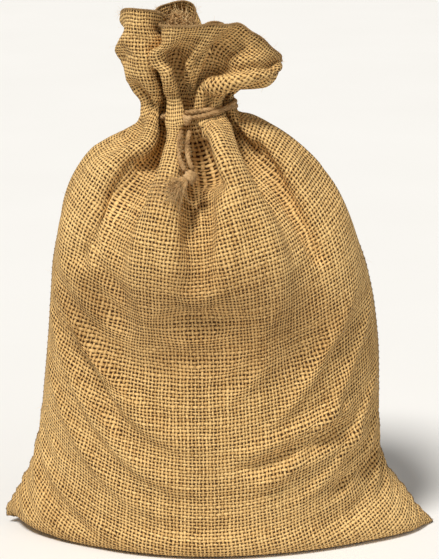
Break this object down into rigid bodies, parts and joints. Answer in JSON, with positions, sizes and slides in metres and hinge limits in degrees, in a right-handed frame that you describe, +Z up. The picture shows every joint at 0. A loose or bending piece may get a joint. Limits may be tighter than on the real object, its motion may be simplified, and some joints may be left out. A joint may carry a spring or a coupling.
{
  "type": "sack race bag",
  "caption": "Filled woven jute sack with sewn sides and bottom, a neck gathered by knotted twine, and an open ruffled mouth above the tie.",
  "frame": {"origin": "on the floor under the middle of the sack's bounding box", "axes": "+Z up from the floor to the mouth, X across the sack's width, -Y towards the front that carries the knot"},
  "size_m": [0.3985, 0.2, 0.4967],
  "materials": {
    "hessian": "plain woven natural jute, matt, with dark gaps between the threads",
    "hessian_hem": "doubled woven jute edge, matt",
    "jute_twine": "laid jute twine with loose fibres",
    "seam_thread": "matt jute sewing thread",
    "loose_filling": "loose dry filling, hidden"
  },
  "bodies": {
    "sack": {"front_panel": "hessian", "back_panel": "hessian", "side_seam_left": "hessian", "side_seam_right": "hessian", "bottom_seam": "hessian", "side_seam_thread_left": "seam_thread", "side_seam_thread_right": "seam_thread", "bottom_seam_thread": "seam_thread", "filling": "loose_filling", "tie_turn_lower": "jute_twine", "tie_turn_upper": "jute_twine", "tie_knot": "jute_twine"},
    "ruffle": {"ruffle_front": "hessian", "ruffle_back": "hessian", "mouth_hem_front": "hessian_hem", "mouth_hem_back": "hessian_hem"},
    "tails": {"tail_left": "jute_twine", "tail_right": "jute_twine", "tail_knot": "jute_twine", "frayed_ends": "jute_twine"}
  },
  "joints": [
    {"name": "ruffle_nod", "type": "hinge", "parent": "sack", "child": "ruffle", "pos_m": [-0.02795, 0, 0.41086], "axis": [0.9903, 0, 0.1392], "range_deg": [-30, 30]},
    {"name": "tails_lift", "type": "hinge", "parent": "sack", "child": "tails", "pos_m": [-0.0297, -0.0382, 0.3864], "axis": [-1, 0, 0], "range_deg": [0, 80]}
  ]
}
